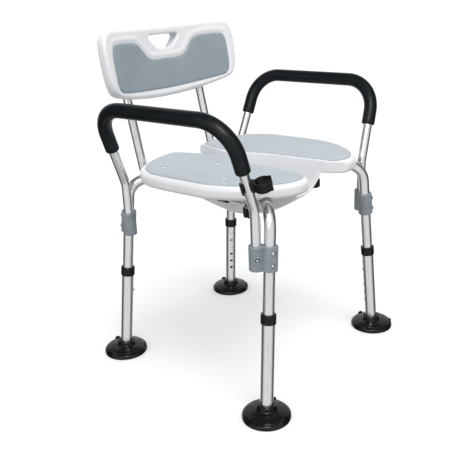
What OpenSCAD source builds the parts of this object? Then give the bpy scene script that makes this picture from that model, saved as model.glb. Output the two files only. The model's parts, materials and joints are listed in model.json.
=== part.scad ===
// Shower chair: a two-lobed seat with an open channel, a curved backrest on two posts, two lift-out armrests,
// four telescopic legs on suction feet and a clip for a hand shower.
// X runs to the sitter's left, Y to the back of the chair and Z up. The origin is on the floor, midway between the feet.

/* [Stance] */
// Distance between the two front feet, centre to centre
front_track = 434; // [424:1:444]
// Distance between the two rear feet, centre to centre
rear_track = 386; // [378:1:394]
// Distance from the front feet to the rear feet
foot_base = 406; // [400:1:412]
// Sideways lean of the front legs, in degrees
front_lean_side = 6.1; // [5.8:0.1:6.4]
// Backward lean of the front legs, in degrees
front_lean_back = 1.5; // [1.2:0.1:1.8]
// Sideways lean of the rear legs, in degrees
rear_lean_side = 3.2; // [2.9:0.1:3.5]
// Forward lean of the rear legs, in degrees
rear_lean_fore = 5.5; // [5.2:0.1:5.8]

/* [Tubes] */
// Outer diameter of the lower leg tubes
leg_tube_d = 25.4; // [25:0.1:26]
// Outer diameter of the bent frame tubes that slide in the lower leg tubes
frame_tube_d = 22.2; // [21.8:0.1:22.4]
// Outer diameter of the armrest tubes
arm_tube_d = 19; // [18:0.5:20]
// Outer diameter of the backrest posts
post_d = 19; // [18:0.5:19]
// Wall thickness of the bent tubes
tube_wall = 1.2; // [1:0.1:1.5]
// Radial clearance of every sliding fit
fit = 0.08; // [0.05:0.01:0.1]

/* [Legs] */
// Number of height holes in each lower leg tube
hole_count = 6; // [4:1:6]
// Distance between the height holes
hole_pitch = 20; // [16:1:20]
// Diameter of the leg snap buttons
leg_button_d = 6.8; // [6:0.2:7]
// Diameter of the suction feet
foot_d = 94; // [88:1:98]

/* [Seat] */
// Height of the top of the seat pads
seat_h = 437; // [435:1:440]
// Thickness of the seat pads
pad_t = 4; // [3:0.5:5]
// Width of the white rim that shows around each pad
rim = 12; // [10:1:13]
// Wall thickness of the seat shell
shell_wall = 3.5; // [3:0.5:4]

/* [Armrests] */
// Distance between the two armrest bars, centre to centre
arm_span = 516; // [508:1:524]
// Height of the armrest bars, centre
arm_h = 566; // [556:1:576]
// Outer diameter of the foam grips
grip_d = 28; // [26:1:30]

/* [Backrest] */
// Thickness of the backrest panel
panel_t = 27; // [24:1:27]
// Radius of the panel's front face, seen from above
panel_r = 563; // [540:1:600]
// Backward tilt of the panel, in degrees
panel_tilt = 8; // [7:0.5:9]
// Backward lean of the posts, in degrees
post_lean = 11.8; // [11.4:0.1:12.2]

/* [Hidden] */
$fn = 64;
left = 1;
right = -1;
front = 0;
rear = 1;

// Legs: foot centres and axis directions of the front and rear legs on the left side
foot_at = [[front_track / 2, -foot_base / 2, 0], [rear_track / 2, foot_base / 2, 0]];
lean = [[-tan(front_lean_side), tan(front_lean_back), 1], [-tan(rear_lean_side), -tan(rear_lean_fore), 1]];
leg_turn = [for (v = lean) atan2(v.y, v.x)];
leg_tilt = [for (v = lean) acos(1 / norm(v))];
// Lengths along the leg axis, from the floor
tube_seat = 8.5;
washer_t = 1.5;
collar_low = 188.6;
collar_top = 207.4;
collar_lip = 2.2;
collar_d = 29.4;
button_s = 151.4;
inner_end = 118;
leg_bore_d = frame_tube_d + 2 * fit;
leg_hole_d = leg_button_d + 0.2;
// The snap buttons of the legs face the middle of the chair
leg_button_turn = [135, 225];
leg_button_tip = 14.6;
leg_button_back = 6.6;
// Suction feet
hub_d = 38;
hub_top = 26;
tab_turn = [[64, 43], [40, 95]];

// Side tubes: each runs from the front leg under the seat to the rear leg
run_z = 402;
run_x = 136;
run_diagonal = 40;
leg_bend_r = 42;
run_bend_r = 28;
frame_bore_d = frame_tube_d - 2 * tube_wall;
// Where a bend meets a straight run, the bend is this much thinner on each face and reaches this far in
tuck_step = 0.05;
tuck_len = 0.4;

// Seat shell
deck_top = seat_h - pad_t + 1;
deck_t = 6;
skirt_low = 408;
deck_under = deck_top - deck_t;
keel_r = 240;
keel_at = [0, 5, 555];
keel_corner_r = 38;
keel_flat = 17;
channel_rear = 150;
channel_low = 300;
lip_r = 80;
lip_centre_y = -228;
drain_at = [[157, 77], [157, -77], [80, 0]];
drain_d = 8;
pad_hole_d = 14;
saddle_y = [-110, 0, 95];
saddle_top = 418;
knob_boss_low = 395.5;
saddle_size = [22, 26];
seat_screw_d = 4.8;

// One seat lobe: the outline of the left pad, anticlockwise from its outer edge
pad_corners = [
    [201, -55], [201, 45], [193, 83], [174, 111], [146, 130], [110, 143], [75, 148], [52, 146],
    [40, 122], [32, 95], [25, 62], [27, 26], [37, -3], [45, -35], [49, -85], [51, -130],
    [57, -176], [70, -195], [94, -199], [120, -191], [146, -172], [170, -142], [187, -113], [198, -76]
];
// Half width of the channel between the lobes, as [distance back, half width]
channel_widths = [
    [-230, 72], [-200, 62], [-165, 51], [-110, 46], [-60, 44], [-20, 38], [0, 32], [30, 22], [67, 21],
    [100, 30], [125, 38], [150, 47], [175, 52]
];

// Clamps
clamp_low = 290;
clamp_h = 47;
clamp_leg_d = 31;
clamp_arm_d = 28;
rivet_d = 4;
rivet_head_d = 8;
rivet_turn = -62;
rivet_heights = [12, 35];

// Armrests: socket centres, kinks and bar corners of the left armrest
arm_at = [[198.4, -176.3], [190.2, 155]];
arm_low = 292;
kink_z = [400, 398];
bar_y = [-173.3, 139.9];
kink_r = 53;
bar_r = 66;
grip_low = 476.5;
arm_bore_d = arm_tube_d - 2 * tube_wall;
arm_button_d = 6;
arm_button_turn = [-45, 45];
arm_button_z = 312;
arm_button_tip = 15;
arm_button_back = 5.2;

// Backrest
post_x = 114.5;
post_run_z = 384.5;
post_front_y = -115;
post_rear_y = 173.4;
post_top_z = 668;
post_bend_r = 32;
panel_at = [0, 198, 640];
panel_corners = [
    [0, -91], [60, -89.5], [115, -84], [164, -76], [186, -67], [196, -47], [200, -12], [199, 24],
    [193, 44], [179, 54.5], [150, 57.5], [80, 57.5]
];
back_pad_corners = [
    [0, -73], [80, -71], [150, -67], [168, -62], [175, -48], [176, -10], [173, 16], [162, 26],
    [120, 28], [92, 25], [80, 17], [62, -2], [48, -10], [24, -12]
];
grip_hole_corners = [[0, 11], [20, 12], [29, 17], [44, 33], [42, 39], [30, 40]];
post_channel = [29, 22, 106];
post_channel_low = 566;
back_screw_z = [585, 650];
back_screw_d = 4;
guide_y = [115, -40];
guide_d = 26;
guide_len = 20;

// Hand screws under the seat
knob_y = -104;
knob_d = 30;
knob_low = 353;
knob_h = 18.7;
knob_washer_t = 3;
stud_d = 6;

// Shower clip on the right armrest, in the mirrored frame of the left one
clip_z = 450;
clip_h = 18;
clip_reach = 28;
clip_turn = 245;
clip_ring_d = 32;
clip_ring_bore = 25;
clip_jaw_d = 26;
clip_jaw_turn = -36;
clip_mouth_turn = 232;

aluminium = "#d4d6d8";
white = "#f3f4f4";
black = "#1d1f21";
clamp_grey = "#8d98a1";
steel = "#b9bcbe";

// ---- Points and curves ----

function unit(v) = v / norm(v);
function leg_point(end, z) = foot_at[end] + z * lean[end];
function along_leg(end, s) = foot_at[end] + s * unit(lean[end]);
function arm_kink(end) = [arm_at[end].x, arm_at[end].y, kink_z[end]];
function bar_corner(end) = [arm_span / 2, bar_y[end], arm_h];
function riser_point(end, z) =
    arm_kink(end) + (z - kink_z[end]) / (arm_h - kink_z[end]) * (bar_corner(end) - arm_kink(end));

// A point between b and c on a smooth curve through a, b, c and d
function curve_point(a, b, c, d, t) =
    0.5 * (2 * b + (c - a) * t + (2 * a - 5 * b + 4 * c - d) * t * t + (3 * b - a - 3 * c + d) * t * t * t);
function closed_curve(p, steps) = [
    for (i = [0 : len(p) - 1], k = [0 : steps - 1])
        curve_point(p[(i + len(p) - 1) % len(p)], p[i], p[(i + 1) % len(p)], p[(i + 2) % len(p)], k / steps)
];
function open_curve(p, steps) = [
    for (i = [1 : len(p) - 3], k = [0 : steps - 1]) curve_point(p[i - 1], p[i], p[i + 1], p[i + 2], k / steps)
];
// The same outline, moved out by d along its own normals
function grown(p, d) = [
    for (i = [0 : len(p) - 1])
        let (t = unit(p[(i + 1) % len(p)] - p[(i + len(p) - 1) % len(p)])) p[i] + d * [t.y, -t.x]
];
// A half outline from the middle line outward, closed by its mirror image
function mirrored(p) = concat(p, [for (i = [len(p) - 1 : -1 : 0]) if (p[i].x > 0) [-p[i].x, p[i].y]]);

pad_outline = closed_curve(pad_corners, 4);
channel_edge = open_curve(channel_widths, 4);
panel_outline = closed_curve(mirrored(panel_corners), 4);
back_pad_outline = closed_curve(mirrored(back_pad_corners), 4);
grip_hole_outline = closed_curve(mirrored(grip_hole_corners), 4);

// ---- Placing ----

module on_side(side) {
    if (side == right) mirror([1, 0, 0]) children();
    else children();
}
module both_sides() {
    children();
    mirror([1, 0, 0]) children();
}
module on_leg(end) {
    translate(foot_at[end])
        rotate([0, 0, leg_turn[end]]) rotate([0, leg_tilt[end], 0]) rotate([0, 0, -leg_turn[end]]) children();
}
// Turns the Z axis outward, at a height and a heading around it
module facing(turn, height) {
    translate([0, 0, height]) rotate([0, 0, turn]) rotate([0, 90, 0]) children();
}
module at_knob() {
    translate([post_x, knob_y, 0]) children();
}

// ---- Tubes ----

module ring(outer_d, inner_d, h) {
    linear_extrude(h) difference() {
        circle(d = outer_d);
        circle(d = inner_d);
    }
}
module straight_tube(a, b, outer_d, inner_d) {
    v = b - a;
    translate(a) rotate([0, acos(v.z / norm(v)), atan2(v.y, v.x)]) ring(outer_d, inner_d, norm(v));
}
// The arc that joins two straight runs at the corner q. Its ends are tucked into the walls of the runs.
module elbow(p, q, r, bend_r, outer_d, inner_d) {
    tuck = tuck_len / bend_r * 180 / PI;
    u = unit(q - p);
    v = unit(r - q);
    turn = acos(u * v);
    centre = q + unit(v - u) * bend_r / cos(turn / 2);
    x_dir = unit(q - u * bend_r * tan(turn / 2) - centre);
    z_dir = cross(x_dir, u);
    multmatrix([
        [x_dir.x, u.x, z_dir.x, centre.x],
        [x_dir.y, u.y, z_dir.y, centre.y],
        [x_dir.z, u.z, z_dir.z, centre.z],
        [0, 0, 0, 1]
    ])
        rotate([0, 0, -tuck]) rotate_extrude(angle = turn + 2 * tuck) translate([bend_r, 0]) difference() {
            circle(d = outer_d - 2 * tuck_step);
            circle(d = inner_d + 2 * tuck_step);
        }
}
// How much of each run the arc at corner i takes
function arc_cut(path, radii, i) =
    i == 0 || i == len(path) - 1 ? 0 :
    radii[i - 1] * tan(acos(unit(path[i] - path[i - 1]) * unit(path[i + 1] - path[i])) / 2);
module bent_tube(path, radii, outer_d, inner_d) {
    for (i = [0 : len(path) - 2]) {
        along = unit(path[i + 1] - path[i]);
        straight_tube(path[i] + along * arc_cut(path, radii, i),
                      path[i + 1] - along * arc_cut(path, radii, i + 1), outer_d, inner_d);
    }
    for (i = [1 : len(path) - 2])
        elbow(path[i - 1], path[i], path[i + 1], radii[i - 1], outer_d, inner_d);
}

// ---- Frame ----

front_top = leg_point(front, run_z);
rear_top = leg_point(rear, run_z);
run_start = [run_x, front_top.y + (front_top.x - run_x) / tan(run_diagonal), run_z];
run_end = [run_x, rear_top.y - (rear_top.x - run_x) / tan(run_diagonal), run_z];

module rivet_holes(end) {
    for (h = rivet_heights) on_leg(end) facing(rivet_heading(end), clamp_low + h) cylinder(d = rivet_d, h = clamp_leg_d);
}
function rivet_heading(end) = end == front ? rivet_turn : -rivet_turn;
module side_tube(side) {
    color(aluminium) on_side(side) difference() {
        bent_tube([along_leg(front, inner_end), front_top, run_start, run_end, rear_top, along_leg(rear, inner_end)],
                  [leg_bend_r, run_bend_r, run_bend_r, leg_bend_r], frame_tube_d, frame_bore_d);
        for (end = [front, rear]) {
            on_leg(end) facing(leg_button_turn[end], button_s) cylinder(d = leg_hole_d, h = frame_tube_d);
            rivet_holes(end);
        }
        for (y = saddle_y) translate([run_x, y, run_z - frame_tube_d]) cylinder(d = seat_screw_d, h = 2 * frame_tube_d);
    }
}
module clamp(end, side) {
    color(clamp_grey) on_side(side) difference() {
        union() {
            on_leg(end) translate([0, 0, clamp_low]) cylinder(d = clamp_leg_d, h = clamp_h);
            translate([arm_at[end].x, arm_at[end].y, clamp_low]) cylinder(d = clamp_arm_d, h = clamp_h);
        }
        on_leg(end) cylinder(d = frame_tube_d, h = 2 * clamp_low);
        translate([arm_at[end].x, arm_at[end].y, 0]) cylinder(d = arm_tube_d + 2 * fit, h = 2 * clamp_low);
        translate([arm_at[end].x, arm_at[end].y, 0])
            facing(arm_button_turn[end], arm_button_z) cylinder(d = arm_button_d + 0.2, h = clamp_arm_d);
        rivet_holes(end);
    }
}
module clamp_rivets() {
    color(steel) both_sides() for (end = [front, rear], h = rivet_heights)
        on_leg(end) facing(rivet_heading(end), clamp_low + h) {
            translate([0, 0, frame_bore_d / 2]) cylinder(d = rivet_d, h = (clamp_leg_d - frame_bore_d) / 2 + 0.5);
            translate([0, 0, clamp_leg_d / 2]) cylinder(d1 = rivet_head_d, d2 = rivet_d, h = 2);
        }
}
// A leaf spring folded into a V: one leg lies behind the button and the other on the far wall of the tube
module leaf_spring(button_back, wall_r, drop) {
    leaf_t = 0.8;
    leaf_w = 6;
    rotate([90, 0, 0]) translate([0, 0, -leaf_w / 2]) linear_extrude(leaf_w) polygon([
        [button_back, 4], [button_back, -4], [-wall_r / 3, -drop - 2 * leaf_t], [-wall_r, 2],
        [-wall_r + leaf_t, 2], [-wall_r / 3, -drop], [button_back - leaf_t, -4], [button_back - leaf_t, 4]
    ]);
}
module leg_button_springs() {
    color(steel) both_sides() for (end = [front, rear])
        on_leg(end) translate([0, 0, button_s]) rotate([0, 0, leg_button_turn[end]])
            leaf_spring(leg_button_back, 9, 30);
}

// ---- Seat ----

module lobe_plan(grow) {
    polygon(grown(pad_outline, grow));
}
module channel_plan(grow) {
    polygon(concat(
        [for (p = channel_edge) [p.y + grow, p.x]],
        [for (i = [len(channel_edge) - 1 : -1 : 0]) [-channel_edge[i].y - grow, channel_edge[i].x]]
    ));
}
// The part of the plan that the channel's bottom covers, with its curved front lip
module channel_floor_plan() {
    difference() {
        intersection() {
            channel_plan(shell_wall);
            translate([-60, -172]) square([120, channel_rear + 172]);
        }
        translate([0, lip_centre_y]) circle(r = lip_r);
    }
}
// A wheel that lies across the chair: its rounded tread is the bottom of the channel
module keel_wheel(inset) {
    corner_r = keel_corner_r - inset;
    half = keel_flat + corner_r;
    tread = keel_r - inset;
    translate(keel_at) rotate([0, 90, 0]) rotate_extrude($fn = 180) {
        translate([0, -half]) square([tread - corner_r, 2 * half]);
        translate([0, -keel_flat]) square([tread, 2 * keel_flat]);
        translate([tread - corner_r, keel_flat]) circle(r = corner_r);
        translate([tread - corner_r, -keel_flat]) circle(r = corner_r);
    }
}
module slab(low, top) {
    translate([0, 0, low]) linear_extrude(top - low) children();
}
module seat_shell() {
    saddle_boss_d = 18;
    knob_boss_d = 16;
    color(white) difference() {
        union() {
            difference() {
                union() {
                    slab(skirt_low, deck_top) both_sides() lobe_plan(rim);
                    intersection() {
                        keel_wheel(0);
                        slab(channel_low, deck_top) channel_floor_plan();
                    }
                }
                slab(skirt_low - 1, deck_under) difference() {
                    both_sides() lobe_plan(rim - shell_wall);
                    channel_plan(shell_wall);
                }
                slab(skirt_low - 3, deck_top + 1) channel_plan(0);
                intersection() {
                    keel_wheel(shell_wall);
                    slab(channel_low, skirt_low) channel_plan(0);
                }
            }
            both_sides() {
                for (y = saddle_y) translate([run_x, y, 0]) slab(saddle_top, deck_under + 1) circle(d = saddle_boss_d);
                at_knob() slab(knob_boss_low, deck_under + 1) circle(d = knob_boss_d);
            }
        }
        slab(deck_top - 1, deck_top + 1) both_sides() lobe_plan(0.2);
        both_sides() {
            for (p = drain_at) translate(p) slab(deck_under - 1, deck_top + 1) circle(d = drain_d);
            for (y = saddle_y) translate([run_x, y, 0]) slab(saddle_top - 1, deck_under + 2) circle(d = seat_screw_d);
            at_knob() slab(knob_boss_low - 1, deck_under + 2) circle(d = stud_d + 0.2);
            notch(front_top, run_start);
            notch(rear_top, run_end);
        }
    }
}
// Room in the skirt of the seat for a side tube that passes under it
module notch(a, b) {
    v = b - a;
    translate(a) rotate([0, 90, atan2(v.y, v.x)]) cylinder(d = frame_tube_d + 3, h = norm(v));
}
module seat_pad(side) {
    color("#c3ccd4") on_side(side) difference() {
        translate([0, 0, seat_h - pad_t]) linear_extrude(pad_t) lobe_plan(0);
        for (p = drain_at) translate([p.x, p.y, seat_h - pad_t - 1]) cylinder(d = pad_hole_d, h = pad_t + 2);
    }
}
module tube_saddles() {
    color(black) both_sides() for (y = saddle_y) difference() {
        translate([run_x - saddle_size.x / 2, y - saddle_size.y / 2, run_z + 2])
            cube([saddle_size.x, saddle_size.y, saddle_top - run_z - 2]);
        translate([run_x, y - saddle_size.y, run_z]) rotate([-90, 0, 0]) cylinder(d = frame_tube_d, h = 2 * saddle_size.y);
        translate([run_x, y, run_z]) cylinder(d = seat_screw_d, h = saddle_top);
    }
}
module seat_screws() {
    head_d = 9;
    head_h = 3;
    color(steel) both_sides() for (y = saddle_y) translate([run_x, y, run_z - frame_tube_d / 2]) {
        translate([0, 0, -head_h]) cylinder(d = head_d, h = head_h);
        cylinder(d = seat_screw_d, h = deck_under - run_z + frame_tube_d / 2);
    }
}
// Rear and middle guides in which the backrest posts slide
module post_guides() {
    neck_w = 16;
    color(black) both_sides() for (y = guide_y) difference() {
        union() {
            translate([post_x, y - guide_len / 2, post_run_z]) rotate([-90, 0, 0]) cylinder(d = guide_d, h = guide_len);
            translate([post_x - neck_w / 2, y - guide_len / 2, post_run_z])
                cube([neck_w, guide_len, deck_under - post_run_z]);
        }
        translate([post_x, y - guide_len, post_run_z]) rotate([-90, 0, 0])
            cylinder(d = post_d + 2 * fit, h = 2 * guide_len);
    }
}

// ---- Legs ----

module leg_tube(end, side) {
    color(aluminium) on_side(side) on_leg(end) difference() {
        translate([0, 0, tube_seat]) ring(leg_tube_d, leg_bore_d, collar_top - collar_lip - tube_seat);
        for (i = [0 : hole_count - 1])
            facing(leg_button_turn[end], button_s + (1 - i) * hole_pitch) cylinder(d = leg_hole_d, h = leg_tube_d);
    }
}
module leg_collar(end, side) {
    color(black) on_side(side) on_leg(end) {
        translate([0, 0, collar_low]) ring(collar_d, leg_tube_d, collar_top - collar_low - collar_lip);
        translate([0, 0, collar_top - collar_lip]) ring(collar_d, leg_bore_d, collar_lip);
    }
}
module foot(end, side) {
    cup = [[0, 3.2], [30, 2.6], [41, 0.6], [43, 0], [46, 0], [47, 1], [46, 3], [38, 7], [29, 12.5], [22, 18], [19, 22], [0, 22]];
    tab_w = 11;
    tab_h = 14;
    color(black) on_side(side) difference() {
        union() {
            translate(foot_at[end]) {
                rotate_extrude() polygon([for (p = cup) [p.x * foot_d / 94, p.y]]);
                for (k = [0 : 2])
                    rotate([0, 0, tab_turn[end][side == left ? 0 : 1] + 120 * k]) translate([foot_d / 2 - 6, -tab_w / 2, 1.5])
                        cube([3, tab_w, tab_h - 1.5]);
            }
            on_leg(end) translate([0, 0, hub_top - 12]) cylinder(d = hub_d, h = 12);
        }
        on_leg(end) translate([0, 0, tube_seat - washer_t]) cylinder(d = leg_tube_d, h = hub_top);
    }
}
module foot_washer(end, side) {
    color(steel) on_side(side) on_leg(end) translate([0, 0, tube_seat - washer_t]) ring(leg_tube_d, 8, washer_t);
}
// A snap button: a domed pin with a flange that stays inside the tube
module snap_button(d, back, tip, flange_d) {
    translate([0, 0, back]) cylinder(d = flange_d, h = 1.6);
    translate([0, 0, back]) cylinder(d = d, h = tip - back - 1.2);
    translate([0, 0, tip - 1.2]) cylinder(d1 = d, d2 = d - 2.4, h = 1.2);
}
module leg_button(end, side) {
    color(steel) on_side(side) on_leg(end) facing(leg_button_turn[end], button_s)
        snap_button(leg_button_d, leg_button_back, leg_button_tip, 8.6);
}

// ---- Armrests ----

module arm_tube(side) {
    path = [
        [arm_at[front].x, arm_at[front].y, arm_low], arm_kink(front), bar_corner(front),
        bar_corner(rear), arm_kink(rear), [arm_at[rear].x, arm_at[rear].y, arm_low]
    ];
    color(aluminium) on_side(side) difference() {
        bent_tube(path, [kink_r, bar_r, bar_r, kink_r], arm_tube_d, arm_bore_d);
        for (end = [front, rear]) translate([arm_at[end].x, arm_at[end].y, 0])
            facing(arm_button_turn[end], arm_button_z) cylinder(d = arm_button_d + 0.2, h = arm_tube_d);
    }
}
module arm_grip(side) {
    path = [riser_point(front, grip_low), bar_corner(front), bar_corner(rear), riser_point(rear, grip_low)];
    color("#20262a") on_side(side) bent_tube(path, [bar_r, bar_r], grip_d, arm_tube_d);
}
module arm_springs(side) {
    color(steel) on_side(side) for (end = [front, rear])
        translate([arm_at[end].x, arm_at[end].y, arm_button_z]) rotate([0, 0, arm_button_turn[end]])
            rotate([180, 0, 0]) leaf_spring(arm_button_back, 7.4, 26);
}
module arm_button(end, side) {
    color(steel) on_side(side) translate([arm_at[end].x, arm_at[end].y, 0])
        facing(arm_button_turn[end], arm_button_z) snap_button(arm_button_d, arm_button_back, arm_button_tip, 7.6);
}
module holder_clip() {
    at = riser_point(front, clip_z);
    along = bar_corner(front) - arm_kink(front);
    color(black) on_side(right) translate(at)
        rotate([0, 0, atan2(along.y, along.x)]) rotate([0, acos(along.z / norm(along)), 0])
        rotate([0, 0, -atan2(along.y, along.x)]) translate([0, 0, -clip_h / 2]) linear_extrude(clip_h) difference() {
            union() {
                circle(d = clip_jaw_d);
                rotate(clip_turn) {
                    translate([clip_reach, 0]) circle(d = clip_ring_d);
                    translate([0, -6]) square([clip_reach, 12]);
                }
            }
            circle(d = arm_tube_d + 2 * fit);
            rotate(clip_jaw_turn) translate([0, -8]) square([clip_jaw_d, 16]);
            rotate(clip_turn) translate([clip_reach, 0]) circle(d = clip_ring_bore);
            rotate(clip_turn) translate([clip_reach, 0]) rotate(clip_mouth_turn - clip_turn)
                translate([0, -8]) square([clip_ring_d, 16]);
        }
}

// ---- Backrest ----

module in_panel() {
    translate(panel_at) rotate([-panel_tilt, 0, 0]) children();
}
// Everything between two depths behind the panel's curved front face, inside an outline seen from the front
module curved_sheet(near, far, outline) {
    half_h = 110;
    intersection() {
        translate([0, -panel_r, -half_h]) rotate_extrude($fn = 360)
            translate([panel_r + near, 0]) square([far - near, 2 * half_h]);
        translate([0, 80, 0]) rotate([90, 0, 0]) linear_extrude(180) polygon(outline);
    }
}
module on_post(z) {
    translate([post_x, post_rear_y + (z - post_run_z) * tan(post_lean), z]) rotate([-post_lean, 0, 0]) children();
}
module back_shell() {
    color(white) difference() {
        union() {
            in_panel() curved_sheet(0, panel_t, panel_outline);
            both_sides() on_post(post_channel_low) translate([-post_channel.x / 2, -post_channel.y, 0]) cube(post_channel);
        }
        in_panel() curved_sheet(-5, panel_t + 60, grip_hole_outline);
        in_panel() curved_sheet(-5, 1.1, grown(back_pad_outline, 0.3));
        both_sides() {
            on_post(post_channel_low - 30) cylinder(d = post_d, h = 160);
            for (z = back_screw_z) on_post(z) rotate([90, 0, 0]) cylinder(d = back_screw_d, h = 22);
        }
    }
}
module back_pad() {
    color("#9dafba") in_panel() curved_sheet(-2.4, 1, back_pad_outline);
}
module back_post(side) {
    top = [post_x, post_rear_y + (post_top_z - post_run_z) * tan(post_lean), post_top_z];
    slot_w = stud_d + 0.8;
    color(aluminium) on_side(side) difference() {
        bent_tube([[post_x, post_front_y, post_run_z], [post_x, post_rear_y, post_run_z], top],
                  [post_bend_r], post_d, post_d - 2 * tube_wall);
        at_knob() translate([-slot_w / 2, -20, post_run_z - post_d]) cube([slot_w, 20 + slot_w / 2, 2 * post_d]);
        for (z = back_screw_z) on_post(z) translate([0, post_d, 0]) rotate([90, 0, 0]) cylinder(d = back_screw_d, h = 2 * post_d);
    }
}
module post_plugs() {
    color(black) both_sides() on_post(post_top_z) {
        translate([0, 0, -10]) cylinder(d = post_d - 2 * tube_wall, h = 10);
        cylinder(d = post_d, h = 3);
    }
}
module back_screws() {
    color(steel) both_sides() for (z = back_screw_z) on_post(z) {
        translate([0, post_d / 2 + 2.5, 0]) rotate([90, 0, 0]) cylinder(d = 8, h = 2.5);
        translate([0, post_d / 2, 0]) rotate([90, 0, 0]) cylinder(d = back_screw_d, h = post_d / 2 + 20);
    }
}

// ---- Hand screws ----

module seat_knob(side) {
    flutes = 8;
    color(black) on_side(side) at_knob() difference() {
        translate([0, 0, knob_low]) cylinder(d = knob_d, h = knob_h);
        for (i = [0 : flutes - 1]) rotate([0, 0, 360 / flutes * i]) translate([knob_d / 2 + 1.5, 0, knob_low - 1])
            cylinder(d = 7, h = knob_h + 2);
        translate([0, 0, knob_low + 4]) cylinder(d = stud_d, h = knob_h);
    }
}
module knob_washer(side) {
    color(clamp_grey) on_side(side) at_knob() translate([0, 0, knob_low + knob_h]) ring(24, stud_d, knob_washer_t);
}
module knob_stud(side) {
    color(steel) on_side(side) at_knob() translate([0, 0, knob_low + 4]) cylinder(d = stud_d, h = 62);
}

// ---- Nodes ----

side_tube(left);  // side_tube_left
side_tube(right);  // side_tube_right
seat_shell();
seat_pad(left);  // seat_pad_left
seat_pad(right);  // seat_pad_right
seat_screws();
tube_saddles();
post_guides();
clamp(front, left);  // clamp_front_left
clamp(front, right);  // clamp_front_right
clamp(rear, left);  // clamp_rear_left
clamp(rear, right);  // clamp_rear_right
clamp_rivets();
leg_button_springs();
leg_tube(front, left);  // leg_tube_front_left
leg_tube(front, right);  // leg_tube_front_right
leg_tube(rear, left);  // leg_tube_rear_left
leg_tube(rear, right);  // leg_tube_rear_right
leg_collar(front, left);  // leg_collar_front_left
leg_collar(front, right);  // leg_collar_front_right
leg_collar(rear, left);  // leg_collar_rear_left
leg_collar(rear, right);  // leg_collar_rear_right
foot(front, left);  // foot_front_left
foot(front, right);  // foot_front_right
foot(rear, left);  // foot_rear_left
foot(rear, right);  // foot_rear_right
foot_washer(front, left);  // foot_washer_front_left
foot_washer(front, right);  // foot_washer_front_right
foot_washer(rear, left);  // foot_washer_rear_left
foot_washer(rear, right);  // foot_washer_rear_right
leg_button(front, left);  // leg_button_front_left
leg_button(front, right);  // leg_button_front_right
leg_button(rear, left);  // leg_button_rear_left
leg_button(rear, right);  // leg_button_rear_right
arm_tube(left);  // arm_tube_left
arm_tube(right);  // arm_tube_right
arm_grip(left);  // arm_grip_left
arm_grip(right);  // arm_grip_right
arm_springs(left);  // arm_springs_left
arm_springs(right);  // arm_springs_right
arm_button(front, left);  // arm_button_front_left
arm_button(front, right);  // arm_button_front_right
arm_button(rear, left);  // arm_button_rear_left
arm_button(rear, right);  // arm_button_rear_right
back_shell();
back_pad();
back_post(left);  // back_post_left
back_post(right);  // back_post_right
post_plugs();
back_screws();
holder_clip();
seat_knob(left);  // seat_knob_left
seat_knob(right);  // seat_knob_right
knob_stud(left);  // knob_stud_left
knob_stud(right);  // knob_stud_right
knob_washer(left);  // knob_washer_left
knob_washer(right);  // knob_washer_right
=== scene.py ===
"""Looks of the shower chair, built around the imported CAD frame.

The frame gives every tube and screw. The moulded shell, backrest, foam, feet, clamps, clip, knobs and buttons
are modelled here as smooth skins around distance fields or as turned and swept forms, and stand for their CAD
nodes.
Design numbers are millimetres in the row frame; meshes are written in metres.
"""

import json
import math
from itertools import product

import bpy
import numpy as np
from mathutils import Matrix, Vector


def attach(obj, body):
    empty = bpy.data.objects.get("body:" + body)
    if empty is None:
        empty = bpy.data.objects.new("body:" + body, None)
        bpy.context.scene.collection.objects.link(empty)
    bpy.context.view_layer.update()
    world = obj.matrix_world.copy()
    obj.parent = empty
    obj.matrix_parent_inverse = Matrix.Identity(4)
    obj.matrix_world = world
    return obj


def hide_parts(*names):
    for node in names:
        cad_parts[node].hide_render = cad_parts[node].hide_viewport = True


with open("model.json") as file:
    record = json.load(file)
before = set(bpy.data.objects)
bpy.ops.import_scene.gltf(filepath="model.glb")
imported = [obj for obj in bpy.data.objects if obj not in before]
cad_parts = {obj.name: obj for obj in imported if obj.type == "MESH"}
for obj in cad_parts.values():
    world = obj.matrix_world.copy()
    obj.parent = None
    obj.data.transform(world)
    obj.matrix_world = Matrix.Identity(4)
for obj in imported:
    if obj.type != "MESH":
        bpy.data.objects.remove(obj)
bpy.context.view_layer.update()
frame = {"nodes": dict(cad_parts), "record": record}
MM = 0.001
COARSE = 1.0
FRONT, REAR = 0, 1
END_NAMES = ("front", "rear")
SIDES = (("left", 1), ("right", -1))

# ---------------------------------------------------------------- camera, light and floor

scene = bpy.context.scene
scene.view_settings.view_transform = "Standard"

# How far the floor reaches, and the surroundings that only reflections see, in millimetres
FLOOR_REACH = 3e5
STAGE_R, STAGE_TOP = 3000, 3500
CAMERA_AT = Vector((-1.0812, -0.8308, 0.7760))
YAW, PITCH, ROLL = (math.radians(a) for a in (-52.25, 19.47, -2.13))


def make_camera():
    forward = Vector(
        (-math.sin(YAW) * math.cos(PITCH), math.cos(YAW) * math.cos(PITCH), -math.sin(PITCH))
    )
    right = Vector((math.cos(YAW), math.sin(YAW), 0))
    up = right.cross(forward)
    x_axis = right * math.cos(ROLL) + up * math.sin(ROLL)
    y_axis = up * math.cos(ROLL) - right * math.sin(ROLL)
    data = bpy.data.cameras.new("camera")
    data.sensor_width, data.lens = 36, 53.31
    data.shift_x, data.shift_y = -0.0378, -0.0133
    data.clip_start, data.clip_end = 0.05, 1000
    camera = bpy.data.objects.new("camera", data)
    scene.collection.objects.link(camera)
    camera.matrix_world = Matrix.Translation(CAMERA_AT) @ Matrix(
        (x_axis, y_axis, -forward)
    ).transposed().to_4x4()
    scene.camera = camera


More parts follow.
